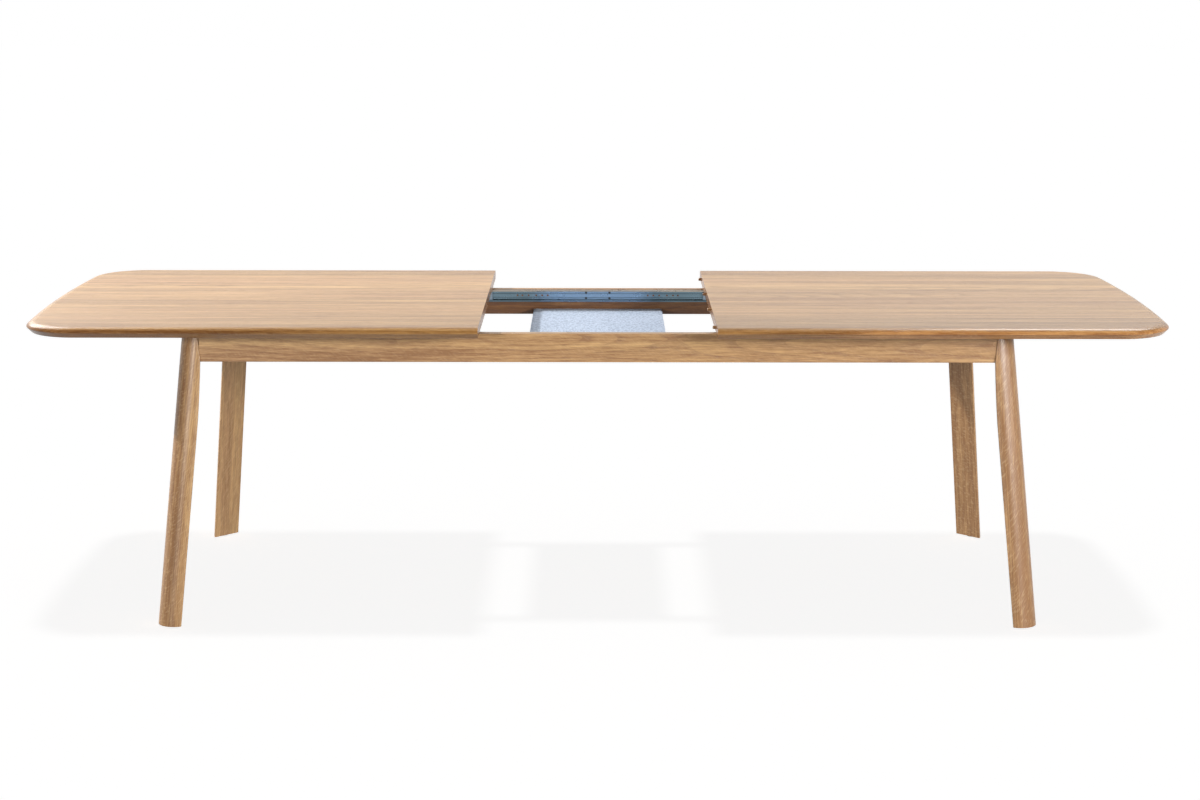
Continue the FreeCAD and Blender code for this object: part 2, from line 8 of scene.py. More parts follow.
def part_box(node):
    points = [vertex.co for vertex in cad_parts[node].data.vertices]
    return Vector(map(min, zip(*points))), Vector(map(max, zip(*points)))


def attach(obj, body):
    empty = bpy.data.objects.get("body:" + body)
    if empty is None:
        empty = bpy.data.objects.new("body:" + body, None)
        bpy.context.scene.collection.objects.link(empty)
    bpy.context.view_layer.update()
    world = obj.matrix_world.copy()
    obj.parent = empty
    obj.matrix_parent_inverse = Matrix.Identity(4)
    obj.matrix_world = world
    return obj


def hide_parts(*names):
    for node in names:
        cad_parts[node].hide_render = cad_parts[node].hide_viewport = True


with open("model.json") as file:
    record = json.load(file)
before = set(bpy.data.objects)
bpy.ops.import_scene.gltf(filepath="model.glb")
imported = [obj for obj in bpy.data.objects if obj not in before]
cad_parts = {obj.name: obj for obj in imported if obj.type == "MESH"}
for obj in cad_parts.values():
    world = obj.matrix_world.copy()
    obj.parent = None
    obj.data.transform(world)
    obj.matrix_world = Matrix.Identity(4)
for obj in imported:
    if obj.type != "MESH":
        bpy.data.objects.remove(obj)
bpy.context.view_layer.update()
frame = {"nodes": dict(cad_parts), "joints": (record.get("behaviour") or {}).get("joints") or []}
nodes = frame["nodes"]

# Extending oak table, drawn open. Metres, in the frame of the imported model:
# +X along the table, +Y to the back.

# Top halves
top_sides = {"left": -1, "right": 1}
end_bow = 0.023
corner_radius = 0.135
edge_round = 0.012
edge_round_width = 0.024
edge_bevel = 0.012
arris = 0.0006
cut_easing = 0.0005
edge_steps = 16
corner_steps = 28
bow_steps = 24
easing_steps = 2
smooth_angle = math.radians(32)

# Dowel holes in the cut: places as shares of the width, and the radius and depth of each half's holes
dowel_place_shares = (-0.40, -0.13, 0.13, 0.40)
dowel_holes = {"left": (0.0043, 0.0110), "right": (0.0046, 0.0221)}
dowel_hole_steps = 32

# Felt: its grid, how far its rim and its waves sink, and its bent waves in radians per metre along X and Y
felt_grid = 0.005
felt_edge = 0.0010
felt_wave = 0.00025
felt_waves = (61.0, 47.0)
felt_bends = (23.0, 31.0)
felt_bend_reach = (2.0, 1.7)

# Corners by their signs of X and Y, and how far a leg leans along each for its height
corners = {"front_left": (-1, -1), "front_right": (1, -1), "back_left": (-1, 1), "back_right": (1, 1)}
leg_splay = (0.093, 0.124)

# Camera
camera_place = (-0.0019, -5.8935, 1.6570)
camera_pitch = 0.19735
camera_yaw = -0.00137
camera_roll = 0.00166
camera_lens = 69.25
camera_sensor = 36.0


# Shader graphs

class Graph:
    """The node tree of a material or a world, whose nodes are added by short calls that return a socket."""

    def __init__(self, owner):
        owner.use_nodes = True
        self.nodes = owner.node_tree.nodes
        self.links = owner.node_tree.links
        self.nodes.clear()

    def put(self, value, socket):
        """Feeds a socket from another socket or sets it to a plain value."""
        if isinstance(value, bpy.types.NodeSocket):
            self.links.new(value, socket)
        else:
            socket.default_value = value

    def add(self, kind, *values):
        """A node with its first inputs filled in order, as its first output."""
        node = self.nodes.new(kind)
        for value, socket in zip(values, node.inputs):
            self.put(value, socket)
        return node.outputs[0]

    def place(self):
        """The point on the object, in metres, moving with it."""
        return self.nodes.new("ShaderNodeTexCoord").outputs["Object"]

    def math(self, operation, first, second=0.0):
        node = self.nodes.new("ShaderNodeMath")
        node.operation = operation
        self.put(first, node.inputs[0])
        self.put(second, node.inputs[1])
        return node.outputs[0]

    def vector(self, operation, first, second=(0.0, 0.0, 0.0)):
        node = self.nodes.new("ShaderNodeVectorMath")
        node.operation = operation
        self.put(first, node.inputs[0])
        self.put(second, node.inputs[1])
        return node.outputs["Value" if operation == "LENGTH" else "Vector"]

    def turn(self, vector, rotation):
        node = self.nodes.new("ShaderNodeVectorRotate")
        node.rotation_type = "EULER_XYZ"
        self.put(vector, node.inputs["Vector"])
        node.inputs["Rotation"].default_value = rotation
        return node.outputs[0]

    def split(self, vector):
        node = self.nodes.new("ShaderNodeSeparateXYZ")
        self.put(vector, node.inputs[0])
        return node.outputs[0], node.outputs[1], node.outputs[2]

    def join(self, x, y, z):
        return self.add("ShaderNodeCombineXYZ", x, y, z)

    def noise(self, vector, waves, detail=2.0, roughness=0.5, colour=False):
        """Noise about 0.5, with its own number of waves per metre along each axis."""
        node = self.nodes.new("ShaderNodeTexNoise")
        node.inputs["Scale"].default_value = 1.0
        node.inputs["Detail"].default_value = detail
        node.inputs["Roughness"].default_value = roughness
        self.put(self.vector("MULTIPLY", vector, waves), node.inputs["Vector"])
        return node.outputs["Color" if colour else "Fac"]

    def random(self, value):
        """Three random numbers from 0 to 1 for each value, as a vector."""
        node = self.nodes.new("ShaderNodeTexWhiteNoise")
        node.noise_dimensions = "1D"
        self.put(value, node.inputs["W"])
        return node.outputs["Color"]

    def rise(self, value, low, high, start=0.0, stop=1.0):
        """A smooth step from start to stop while the value goes from low to high."""
        node = self.nodes.new("ShaderNodeMapRange")
        node.interpolation_type = "SMOOTHSTEP"
        for item, socket in zip((value, low, high, start, stop), node.inputs):
            self.put(item, socket)
        return node.outputs[0]

    def blend(self, share, first, second, mode="MIX"):
        node = self.nodes.new("ShaderNodeMix")
        node.data_type = "RGBA"
        node.blend_type = mode
        self.put(share, node.inputs["Factor"])
        self.put(first, node.inputs[6])
        self.put(second, node.inputs[7])
        return node.outputs[2]

    def normal(self):
        """The way that the surface faces, as three sockets."""
        return self.split(self.nodes.new("ShaderNodeNewGeometry").outputs["Normal"])

    def path(self, kind):
        """1 for rays of a kind, such as Is Camera Ray, and 0 for all others."""
        return self.nodes.new("ShaderNodeLightPath").outputs[kind]

    def seen(self):
        """1 for rays from the camera, from gloss and through glass, and 0 for the light on objects."""
        mirrored = self.math("MAXIMUM", self.path("Is Glossy Ray"), self.path("Is Transmission Ray"))
        return self.math("MAXIMUM", self.path("Is Camera Ray"), mirrored)


class Shader(Graph):
    """A material with a Principled surface."""

    def __init__(self, name):
        self.material = bpy.data.materials.new(name)
        super().__init__(self.material)
        self.surface = self.nodes.new("ShaderNodeBsdfPrincipled")
        output = self.nodes.new("ShaderNodeOutputMaterial")
        self.put(self.surface.outputs[0], output.inputs["Surface"])

    def set(self, **values):
        """Sets or links inputs of the surface, with underscores for the spaces in their names."""
        for name, value in values.items():
            self.put(value, self.surface.inputs[name.replace("_", " ")])

    def bump(self, height, depth):
        """Gives the surface a relief from a height of 0 to 1, this many metres deep."""
        node = self.nodes.new("ShaderNodeBump")
        node.inputs["Strength"].default_value = 1.0
        node.inputs["Distance"].default_value = depth
        self.put(height, node.inputs["Height"])
        self.put(node.outputs[0], self.surface.inputs["Normal"])


def colour(red, green, blue):
    """A linear colour from the usual 0 to 255 values."""
    def linear(value):
        share = value / 255
        return share / 12.92 if share <= 0.04045 else ((share + 0.055) / 1.055) ** 2.4
    return linear(red), linear(green), linear(blue), 1.0


def grey(value):
    return value, value, value, 1.0


# The middle of the noise, and the values that nearly all of it lies between
noise_middle = (0.5, 0.5, 0.5)
noise_span = (0.2, 0.8)


# Oak

oak_light = colour(213, 173, 117)
oak_rose = colour(211, 168, 118)
oak_dark = colour(140, 99, 60)
oak_pore = colour(92, 58, 33)
oak_ray = colour(226, 194, 148)
oak_relief = 0.00012
fibre_relief_share = 0.25

# Growth rings: width, share of the shade, the stretch of each in which early wood ends, and how they wander
ring_width = 0.0042
ring_share = 0.16
early_end_shares = (0.05, 0.60)
wander_waves = (0.9, 5.0, 5.0)
wander_reach = (0.0, 0.05, 0.05)

# Layers of the grain, broad to fine: waves per metre along and across it, and share of the shade
grain_layers = (((0.9, 24.0, 24.0), 0.50), ((5.0, 130.0, 130.0), 0.38), ((26.0, 330.0, 330.0), 0.35),
                ((60.0, 1300.0, 1300.0), 0.14))
grain_span = (0.28, 0.72)

# Pores, slanted rays and rosy patches: waves per metre, and the values of the noise at which they come in
pore_waves = (38.0, 1500.0, 1500.0)
pore_onset = (0.56, 0.68)
ray_waves = (210.0, 100.0, 100.0)
ray_onset = (0.48, 0.74)
ray_lean = 1.1
rose_waves = (0.6, 9.0, 9.0)
rose_onset = (0.35, 0.65)

# How dark the pores are, how many are open in all the wood, and how many more in the early wood
pore_shade_share = 0.55
pore_share = 0.20
early_pore_share = 0.75

# Painted shade on the top's edges, deep on the left half and faint on the right, with where it changes along
# the table, and the tint of its end grain
left_edge_shade = (0.57, 0.47, 0.35, 1.0)
right_edge_shade = (1.00, 0.86, 0.70, 1.0)
edge_shade_fade = (0.20, 0.45)
end_grain = (0.80, 0.74, 0.66, 1.0)
edge_polish = 0.80

# How far the surface faces up or endwise, 0 to 1, where the painted shade of the edge, its polish and the
# end grain come in
edge_facing = (0.70, 0.99)
polish_facing = (0.90, 0.998)
end_facing = (0.30, 0.85)

# Painted shade on the inner faces of the long aprons, and how far the surface faces inwards where it comes
# in
inner_shade_tint = (0.50, 0.37, 0.235, 1.0)
inner_shade_facing = (0.5, 0.9)

# Staves of each half from front to back: where each one starts across the table, and its tone. The tones
# partly paint shade: the right half darker than the left, and the front staves darker, which darkens the
# edge too
top_staves = {
    "left": ((-0.50, 0.90), (-0.375, 0.93), (-0.290, 0.98), (-0.235, 1.04), (-0.200, 0.98), (-0.035, 1.02),
             (0.070, 0.99), (0.140, 1.03), (0.200, 1.06), (0.360, 0.97), (0.400, 0.91)),
    "right": ((-0.50, 0.76), (-0.385, 0.80), (-0.330, 0.86), (-0.290, 0.94), (-0.200, 0.93), (-0.065, 0.97),
              (0.0, 0.93), (0.100, 0.95), (0.170, 1.01), (0.340, 0.94), (0.400, 0.90)),
}
# Casts of colour of each half, partly painted light and shade: the left one brightens its half, the right
# one dims and yellows its half
top_casts = {"left": (1.04, 1.03, 0.99), "right": (0.99, 0.97, 0.92)}
stave_spread = (9.0, 0.5, 0.16)


def stave_steps(s, y, staves):
    """The number of the stave at a place across the panel, and its tone, as two sockets."""
    number = 0.0
    tone = staves[0][1]
    for (start, now), last in zip(staves[1:], staves):
        past = s.math("GREATER_THAN", y, start)
        number = s.math("ADD", number, past)
        tone = s.math("ADD", tone, s.math("MULTIPLY", past, now - last[1]))
    return number, tone


def early_wood(s, point, pith, tilt):
    """1 in the early wood of the growth rings round a pith, which tilts along X, and 0 in the late wood."""
    x, y, z = s.split(point)
    drift = s.noise(point, wander_waves, roughness=0.55, colour=True)
    drift = s.vector("MULTIPLY", s.vector("SUBTRACT", drift, noise_middle), wander_reach)
    lean = s.vector("MULTIPLY", s.join(0.0, x, x), (0.0, *tilt))
    across = s.vector("ADD", s.vector("ADD", s.join(0.0, y, z), drift), lean)
    radius = s.vector("LENGTH", s.vector("SUBTRACT", across, (0.0, *pith)))
    ring = s.math("FRACT", s.math("DIVIDE", radius, ring_width))
    return s.rise(ring, *early_end_shares, 1.0, 0.0)


def grain_shade(s, point, early, contrast, shade):
    """How dark the wood is, from its rings and its layers of grain, and the finest layer, its fibres."""
    depth = s.math("MULTIPLY", early, ring_share * contrast)
    depth = s.math("ADD", depth, shade - ring_share * contrast / 2)
    for waves, share in grain_layers:
        fibre = s.noise(point, waves, detail=3.0, roughness=0.6)
        swing = share * contrast / 2
        depth = s.math("ADD", depth, s.rise(fibre, *grain_span, -swing, swing))
    return depth, fibre


def open_pores(s, point, early):
    """Short dark pores along the grain, most of them in the early wood."""
    pores = s.rise(s.noise(point, pore_waves, detail=1.0), *pore_onset)
    number = s.math("ADD", s.math("MULTIPLY", early, early_pore_share), pore_share)
    return s.math("MULTIPLY", pores, number)


def slanted_rays(s, point, strength):
    """Pale flecks that slant across the grain."""
    x, y, z = s.split(point)
    slant = s.math("ADD", x, s.math("MULTIPLY", s.math("ADD", y, z), ray_lean))
    return s.rise(s.noise(s.join(slant, y, z), ray_waves), *ray_onset, 0.0, strength)


def toned_top(s, wood, along_table, tone, cast):
    """The colour of the top: faces in the tones of their staves, painted shade on the edges, and darker end
    grain.
    """
    endwise, _, up = (s.math("ABSOLUTE", way) for way in s.normal())
    # Painted shade on the edges: deep on the left half and faint on the right
    edge = s.blend(s.rise(along_table, *edge_shade_fade), left_edge_shade, right_edge_shade)
    edge = s.blend(1.0, wood, edge, "MULTIPLY")
    wood = s.blend(1.0, wood, s.vector("MULTIPLY", s.join(tone, tone, tone), cast), "MULTIPLY")
    wood = s.blend(s.rise(up, *edge_facing, 1.0, 0.0), wood, edge)
    return s.blend(s.rise(endwise, *end_facing), wood, s.blend(1.0, wood, end_grain, "MULTIPLY"))


def polished_edge(s, roughness):
    """The roughness of the top, whose edge is smoother than its faces."""
    up = s.math("ABSOLUTE", s.normal()[2])
    return s.math("MULTIPLY", roughness, s.rise(up, *polish_facing, edge_polish, 1.0))


def oak(name, turn=None, shift=(0, 0, 0), pith=(0.05, -0.16), tilt=(0.012, 0.02), staves=None, cast=None,
        contrast=1.0, shade=0.62, rays=0.12, roughness=(0.36, 0.46), specular=0.60, shaded_side=0):
    """Solid oak with its grain along X, after a turn and a shift to its place in a log. Where staves are
    given, the wood is glued up from them, each from another part of a tree, and has a cast of colour, whose
    tones partly paint light and shade. The face towards a shaded side, +1 or -1 along Y, gets painted shade."""
    s = Shader(name)
    point = s.place()
    if turn:
        point = s.turn(point, turn)
    point = s.vector("ADD", point, shift)
    if staves:
        along_table, across_table, _ = s.split(point)
        number, tone = stave_steps(s, across_table, staves)
        offset = s.vector("SUBTRACT", s.random(number), noise_middle)
        point = s.vector("ADD", point, s.vector("MULTIPLY", offset, stave_spread))

    early = early_wood(s, point, pith, tilt)
    depth, fibre = grain_shade(s, point, early, contrast, shade)
    pores = open_pores(s, point, early)
    wood = s.blend(s.rise(s.noise(point, rose_waves), *rose_onset), oak_light, oak_rose)
    wood = s.blend(depth, wood, oak_dark)
    wood = s.blend(slanted_rays(s, point, rays), wood, oak_ray)
    wood = s.blend(s.math("MULTIPLY", pores, pore_shade_share), wood, oak_pore)
    rough = s.rise(fibre, *noise_span, *roughness)
    if staves:
        wood = toned_top(s, wood, along_table, tone, cast)
        rough = polished_edge(s, rough)
    if shaded_side:
        # Painted shade on the face towards the shaded side
        inner_shade = s.rise(s.math("MULTIPLY", s.normal()[1], shaded_side), *inner_shade_facing)
        wood = s.blend(inner_shade, wood, s.blend(1.0, wood, inner_shade_tint, "MULTIPLY"))
    s.set(Base_Color=wood, Roughness=rough, Specular_IOR_Level=specular)
    s.bump(s.math("SUBTRACT", s.math("MULTIPLY", fibre, fibre_relief_share), pores), oak_relief)
    return s.material


# Metals

# Kinds of metal: tint, roughness, and waves of the streaks per metre along X
rail_zinc = (colour(150, 168, 184), 0.34, 8.0)
channel_zinc = (colour(158, 186, 212), 0.28, 8.0)
cage_steel = (colour(170, 172, 172), 0.40, 20.0)
ball_steel = (colour(200, 202, 204), 0.14, 20.0)
screw_steel = (colour(150, 154, 158), 0.32, 40.0)
dark_steel = (colour(72, 76, 82), 0.42, 40.0)
insert_brass = (colour(196, 160, 92), 0.34, 40.0)

# Streaks and clouds: waves per metre, shares of the shade, and how clouds change the roughness
streak_waves = 900.0
streak_share = 0.5
streak_relief = 0.000006
cloud_waves = (24.0, 60.0, 60.0)
cloud_span = (0.25, 0.75)
cloud_shares = (0.10, 0.35)
shaded_share = 0.72
cloud_gloss = -0.03
cloud_haze = 0.05

# Slide channels: painted reflection, bright along a stretch of X and darker beyond it, the heights of
# painted shade lines, and a painted highlight on the rim
felt_reflection_stretch = (-0.165, 0.130)
reflection_fade = 0.035
dark_reflection_tint = (0.60, 0.62, 0.56, 1.0)
shade_line_heights = (0.6853, 0.6944, 0.7051)
painted_line_width = 0.0022
shade_line_share = 0.45
rim_height = 0.7112
rim_highlight_tint = colour(188, 178, 165)


def streaked(s, tint, stretch):
    """The colour of metal with fine streaks along X and faint clouds, then the streaks and the clouds."""
    point = s.place()
    streak = s.noise(point, (stretch, streak_waves, streak_waves), roughness=0.6)
    cloud = s.noise(point, cloud_waves, detail=3.0, roughness=0.55)
    faint = s.rise(cloud, *cloud_span, *cloud_shares)
    shade = s.math("ADD", s.rise(streak, *noise_span, 0.0, streak_share), faint)
    dark = tuple(shaded_share * value for value in tint[:3]) + (1.0,)
    return s.blend(shade, tint, dark), streak, cloud


def finish_metal(s, body, streak, cloud, roughness):
    s.set(Base_Color=body, Metallic=1.0)
    s.set(Roughness=s.rise(cloud, *noise_span, roughness + cloud_gloss, roughness + cloud_haze))
    s.bump(streak, streak_relief)
    return s.material


def brushed_metal(name, tint, roughness, stretch):
    """Rolled or turned metal."""
    s = Shader(name)
    body, streak, cloud = streaked(s, tint, stretch)
    return finish_metal(s, body, streak, cloud, roughness)


def channel_metal(name, tint, roughness, stretch):
    """Rolled channel with painted shade lines along it, a painted highlight on its rim, and a painted
    reflection, bright in its middle and darker beyond.
    """
    s = Shader(name)
    body, streak, cloud = streaked(s, tint, stretch)
    x, _, z = s.split(s.place())
    start, stop = felt_reflection_stretch
    # Painted reflection: bright along the middle, darker towards the ends
    past = s.math("ABSOLUTE", s.math("SUBTRACT", x, (start + stop) / 2))
    reach = (stop - start) / 2
    dark_reflection = s.rise(past, reach - reflection_fade, reach + reflection_fade)
    body = s.blend(dark_reflection, body, s.blend(1.0, body, dark_reflection_tint, "MULTIPLY"))
    # Painted shade lines under the lower lip and in the rolled creases
    for height in shade_line_heights:
        off = s.math("ABSOLUTE", s.math("SUBTRACT", z, height))
        body = s.blend(s.rise(off, 0.0, painted_line_width, shade_line_share, 0.0), body, grey(0.0))
    # Painted highlight on the rim
    body = s.blend(s.rise(z, rim_height, rim_height + painted_line_width / 2), body, rim_highlight_tint)
    return finish_metal(s, body, streak, cloud, roughness)


# Nylon

nylon_pale = colour(226, 222, 212)
nylon_dark = colour(206, 200, 188)
nylon_waves = (900.0, 900.0, 900.0)
nylon_relief = 0.00003
nylon_glow_depth = (0.002, 0.002, 0.0015)


def nylon():
    """Pale, slightly translucent nylon with a fine grain."""
    s = Shader("nylon")
    grain = s.noise(s.place(), nylon_waves)
    s.set(Base_Color=s.blend(grain, nylon_pale, nylon_dark), Roughness=0.42)
    s.set(Subsurface_Weight=0.08, Subsurface_Radius=nylon_glow_depth)
    s.bump(grain, nylon_relief)
    return s.material


# Wool felt

felt_blue = colour(141, 159, 184)
felt_pale = colour(185, 199, 218)
felt_deep = colour(118, 135, 163)
felt_white = colour(206, 214, 224)
felt_relief = 0.0006

# Tufts, clumps and hairs: waves per metre, the values of the noise at which they come in, and their shares
tuft_waves = (420.0, 300.0, 420.0)
tuft_onset = (0.34, 0.62)
tuft_relief_share = 0.6
clump_waves = (170.0, 60.0, 170.0)
clump_onset = (0.46, 0.62)
clump_share = 0.70
hair_waves = (1500.0, 700.0, 1500.0)
hair_onset = (0.55, 0.75)
hair_share = 0.5
hair_relief_share = 0.4
tangle_waves = (160.0, 160.0, 160.0)
tangle_reach = (0.006, 0.006, 0.006)


def felt():
    """Wool felt: tangled fibres of four close blue-greys under a soft nap."""
    s = Shader("felt")
    point = s.place()
    tangle = s.vector("MULTIPLY", s.noise(point, tangle_waves, colour=True), tangle_reach)
    bent = s.vector("ADD", point, tangle)
    tuft = s.noise(bent, tuft_waves, detail=3.0, roughness=0.65)
    hair = s.noise(bent, hair_waves, roughness=0.6)
    clump = s.noise(bent, clump_waves, roughness=0.6)
    body = s.blend(s.rise(tuft, *tuft_onset), felt_blue, felt_pale)
    body = s.blend(s.rise(clump, *clump_onset, 0.0, clump_share), body, felt_deep)
    body = s.blend(s.rise(hair, *hair_onset, 0.0, hair_share), body, felt_white)
    s.set(Base_Color=body, Roughness=0.95, Specular_IOR_Level=0.15, Sheen_Weight=0.25, Sheen_Roughness=0.6)
    tufts = s.math("MULTIPLY", tuft, tuft_relief_share)
    s.bump(s.math("ADD", tufts, s.math("MULTIPLY", hair, hair_relief_share)), felt_relief)
    return s.material


# Birch plywood

birch_pale = colour(214, 186, 148)
birch_dark = colour(190, 158, 118)
birch_cross = colour(160, 122, 84)
birch_relief = 0.00008
figure_waves = (40.0, 2.2, 400.0)
figure_span = (0.3, 0.7)

# Veneers: height of a pair, the shares of it where the crosswise one starts, and its share of the colour
veneer_pair = 0.0030
cross_start_shares = (0.50, 0.58)
cross_share = 0.25


def plywood(name):
    """Birch board: pale flat figure, with thin veneers showing at its edges."""
    s = Shader(name)
    point = s.place()
    figure = s.noise(point, figure_waves, detail=3.0, roughness=0.6)
    layer = s.math("FRACT", s.math("DIVIDE", s.split(point)[2], veneer_pair))
    body = s.blend(s.rise(figure, *figure_span), birch_pale, birch_dark)
    body = s.blend(s.rise(layer, *cross_start_shares, 0.0, cross_share), body, birch_cross)
    s.set(Base_Color=body, Roughness=0.55)
    s.bump(figure, birch_relief)
    return s.material


# Shapes of the top halves and the felt

def add_piece(name, mesh):
    """A smooth-shaded object made from a finished mesh."""
    data = bpy.data.meshes.new(name)
    mesh.to_mesh(data)
    mesh.free()
    data.shade_smooth()
    data.set_sharp_from_angle(angle=smooth_angle)
    piece = bpy.data.objects.new(name, data)
    bpy.context.scene.collection.objects.link(piece)
    even = piece.modifiers.new("even_shading", "WEIGHTED_NORMAL")
    even.keep_sharp = True
    return piece


def top_outline(side, end_x, cut_x):
    """The right half's plan from the front of its cut round to the back, as points with outward normals."""
    bow_radius = (side ** 2 + end_bow ** 2) / (2 * end_bow)
    bow_x = end_x - bow_radius
    corner_y = side - corner_radius
    reach = math.sqrt((bow_radius - corner_radius) ** 2 - corner_y ** 2)
    half_bow = math.atan2(corner_y, reach)
    corner_x = bow_x + reach
    points = [(Vector((cut_x, -side)), Vector((0.0, -1.0)))]

    def add_arc(centre, radius, start, stop, steps):
        for step in range(steps + 1):
            angle = start + (stop - start) * step / steps
            normal = Vector((math.cos(angle), math.sin(angle)))
            points.append((centre + normal * radius, normal))

    add_arc(Vector((corner_x, -corner_y)), corner_radius, -math.pi / 2, -half_bow, corner_steps)
    points.pop()
    add_arc(Vector((bow_x, 0.0)), bow_radius, -half_bow, half_bow, bow_steps)
    points.pop()
    add_arc(Vector((corner_x, corner_y)), corner_radius, half_bow, math.pi / 2, corner_steps)
    points.append((Vector((cut_x, side)), Vector((0.0, 1.0))))
    return points


def edge_profile(low, high):
    """The edge from the underside to the top, bevelled below and round above, with its arrises eased:
    distances in from the outline with their heights."""
    slant = arris / math.sqrt(2)
    foot = low + edge_bevel
    profile = [(edge_bevel + arris, low), (edge_bevel - slant, low + slant)]
    profile += [(slant, foot - slant), (0.0, foot + arris)]
    for step in range(edge_steps + 1):
        angle = math.pi / 2 * step / edge_steps
        inset = edge_round_width * (1 - math.cos(angle))
        profile.append((inset, high - edge_round + edge_round * math.sin(angle)))
    return profile


def dowel_hole(mesh, mouth_x, floor_x, y, z, radius):
    """The wall and floor of a blind hole along X. It returns the edges of the hole's mouth."""
    mouth = []
    floor_ring = []
    for step in range(dowel_hole_steps):
        angle = 2 * math.pi * step / dowel_hole_steps
        spot = (y + radius * math.cos(angle), z + radius * math.sin(angle))
        mouth.append(mesh.verts.new((mouth_x, *spot)))
        floor_ring.append(mesh.verts.new((floor_x, *spot)))
    rim_edges = []
    for k in range(dowel_hole_steps):
        after = (k + 1) % dowel_hole_steps
        mesh.faces.new((mouth[k], mouth[after], floor_ring[after], floor_ring[k]))
        rim_edges.append(mesh.edges.get((mouth[k], mouth[after])))
    mesh.faces.new(floor_ring)
    return rim_edges


def top_half(end):
    """One half of the top: its edge bevelled below and round above, and a square cut with dowel holes."""
    low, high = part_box(end + "_top")
    side_sign = top_sides[end]
    cut_x, end_x = sorted((side_sign * low.x, side_sign * high.x))
    mesh = bmesh.new()
    outline = top_outline(high.y, end_x, cut_x)
    rings = []
    for inset, level in edge_profile(low.z, high.z):
        spots = [point - normal * inset for point, normal in outline]
        rings.append([mesh.verts.new((side_sign * spot.x, spot.y, level)) for spot in spots])
    for lower, upper in zip(rings, rings[1:]):
        for k in range(len(outline) - 1):
            mesh.faces.new((lower[k], lower[k + 1], upper[k + 1], upper[k]))
    mesh.faces.new(rings[0])
    mesh.faces.new(rings[-1])

    rim = [ring[0] for ring in rings] + [ring[-1] for ring in reversed(rings)]
    rim_edges = []
    for first, second in zip(rim, rim[1:] + rim[:1]):
        rim_edges.append(mesh.edges.get((first, second)) or mesh.edges.new((first, second)))
    cut_edges = list(rim_edges)
    radius, depth = dowel_holes[end]
    mouth_x = side_sign * cut_x
    floor_x = side_sign * (cut_x + depth)
    middle = (low.z + high.z) / 2
    for share in dowel_place_shares:
        cut_edges += dowel_hole(mesh, mouth_x, floor_x, share * (high.y - low.y), middle, radius)
    bmesh.ops.triangle_fill(mesh, use_beauty=True, edges=cut_edges)
    bmesh.ops.recalc_face_normals(mesh, faces=mesh.faces)
    bmesh.ops.bevel(mesh, geom=rim_edges, offset=cut_easing, segments=easing_steps, profile=0.5,
                    affect="EDGES")
    return add_piece(end + "_top_board", mesh)


def felt_swell(x, y):
    """The bent waves of the felt's face, from -1 to 1."""
    along = math.sin(felt_waves[0] * x + felt_bend_reach[0] * math.sin(felt_bends[0] * y))
    across = math.sin(felt_waves[1] * y + felt_bend_reach[1] * math.sin(felt_bends[1] * x))
    return along * across


def felt_sheet():
    """The felt: a thin sheet with a soft edge and a slightly uneven face."""
    low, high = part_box("leaf_felt")
    size = high - low
    columns = round(size.x / felt_grid)
    rows = round(size.y / felt_grid)
    mesh = bmesh.new()

    def layer(level, rim_drop, wave):
        grid = []
        for j in range(rows + 1):
            line = []
            for i in range(columns + 1):
                x = low.x + size.x * i / columns
                y = low.y + size.y * j / rows
                on_rim = i in (0, columns) or j in (0, rows)
                drop = rim_drop if on_rim else wave * (1 + felt_swell(x, y))
                line.append(mesh.verts.new((x, y, level - drop)))
            grid.append(line)
        for j in range(rows):
            for i in range(columns):
                mesh.faces.new((grid[j][i], grid[j][i + 1], grid[j + 1][i + 1], grid[j + 1][i]))
        return grid

    upper = layer(high.z, felt_edge, felt_wave)
    lower = layer(low.z, 0.0, 0.0)
    rim = [(0, i) for i in range(columns)] + [(j, columns) for j in range(rows)]
    rim += [(rows, columns - i) for i in range(columns)] + [(rows - j, 0) for j in range(rows)]
    for (j, i), (n, m) in zip(rim, rim[1:] + rim[:1]):
        mesh.faces.new((upper[j][i], upper[n][m], lower[n][m], lower[j][i]))
    bmesh.ops.recalc_face_normals(mesh, faces=mesh.faces)
    return add_piece("leaf_felt_sheet", mesh)


# Dressing

# How dark the wood of each leg is, partly painted light and shade: the back legs lighter and the front right
# one darker, to suit how each is lit
leg_shades = {"front_left": 0.74, "front_right": 0.98, "back_left": 0.54, "back_right": 0.74}

# Where pieces lie in their logs: runners by the sign of Y, corner blocks, and dowels along the log
runner_shifts = {-1: (2.0, 0.33, -0.7), 1: (2.0, -0.33, -0.7)}
block_shift = (1.0, 0.0, -0.6)
dowel_shift = 3.0

quarter_turn = (0.0, 0.0, math.pi / 2)
steel_pieces = ("corner_screws", "board_screws", "leg_bolts", "leg_washers", "left_runner_screws",
                "right_runner_screws", "left_rail_screws", "right_rail_screws")


def dress(piece, material):
    """Gives a piece one material in place of any that it has."""
    piece.data.materials.clear()
    piece.data.materials.append(material)


def leg_oak(corner):
    """Oak whose grain runs down a splayed leg."""
    x_side, y_side = corners[corner]
    axis = Vector((x_side * leg_splay[0], y_side * leg_splay[1], -1.0)).normalized()
    turn = axis.rotation_difference(Vector((1.0, 0.0, 0.0)))
    low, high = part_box(corner + "_leg")
    middle = Vector(low + high) / 2
    middle.rotate(turn)
    return oak("oak_" + corner + "_leg", turn=turn.to_euler("XYZ"), shift=tuple(-middle), pith=(0.06, 0.09),
               tilt=(0.02, 0.02), shade=leg_shades[corner], rays=0.27, roughness=(0.30, 0.40))


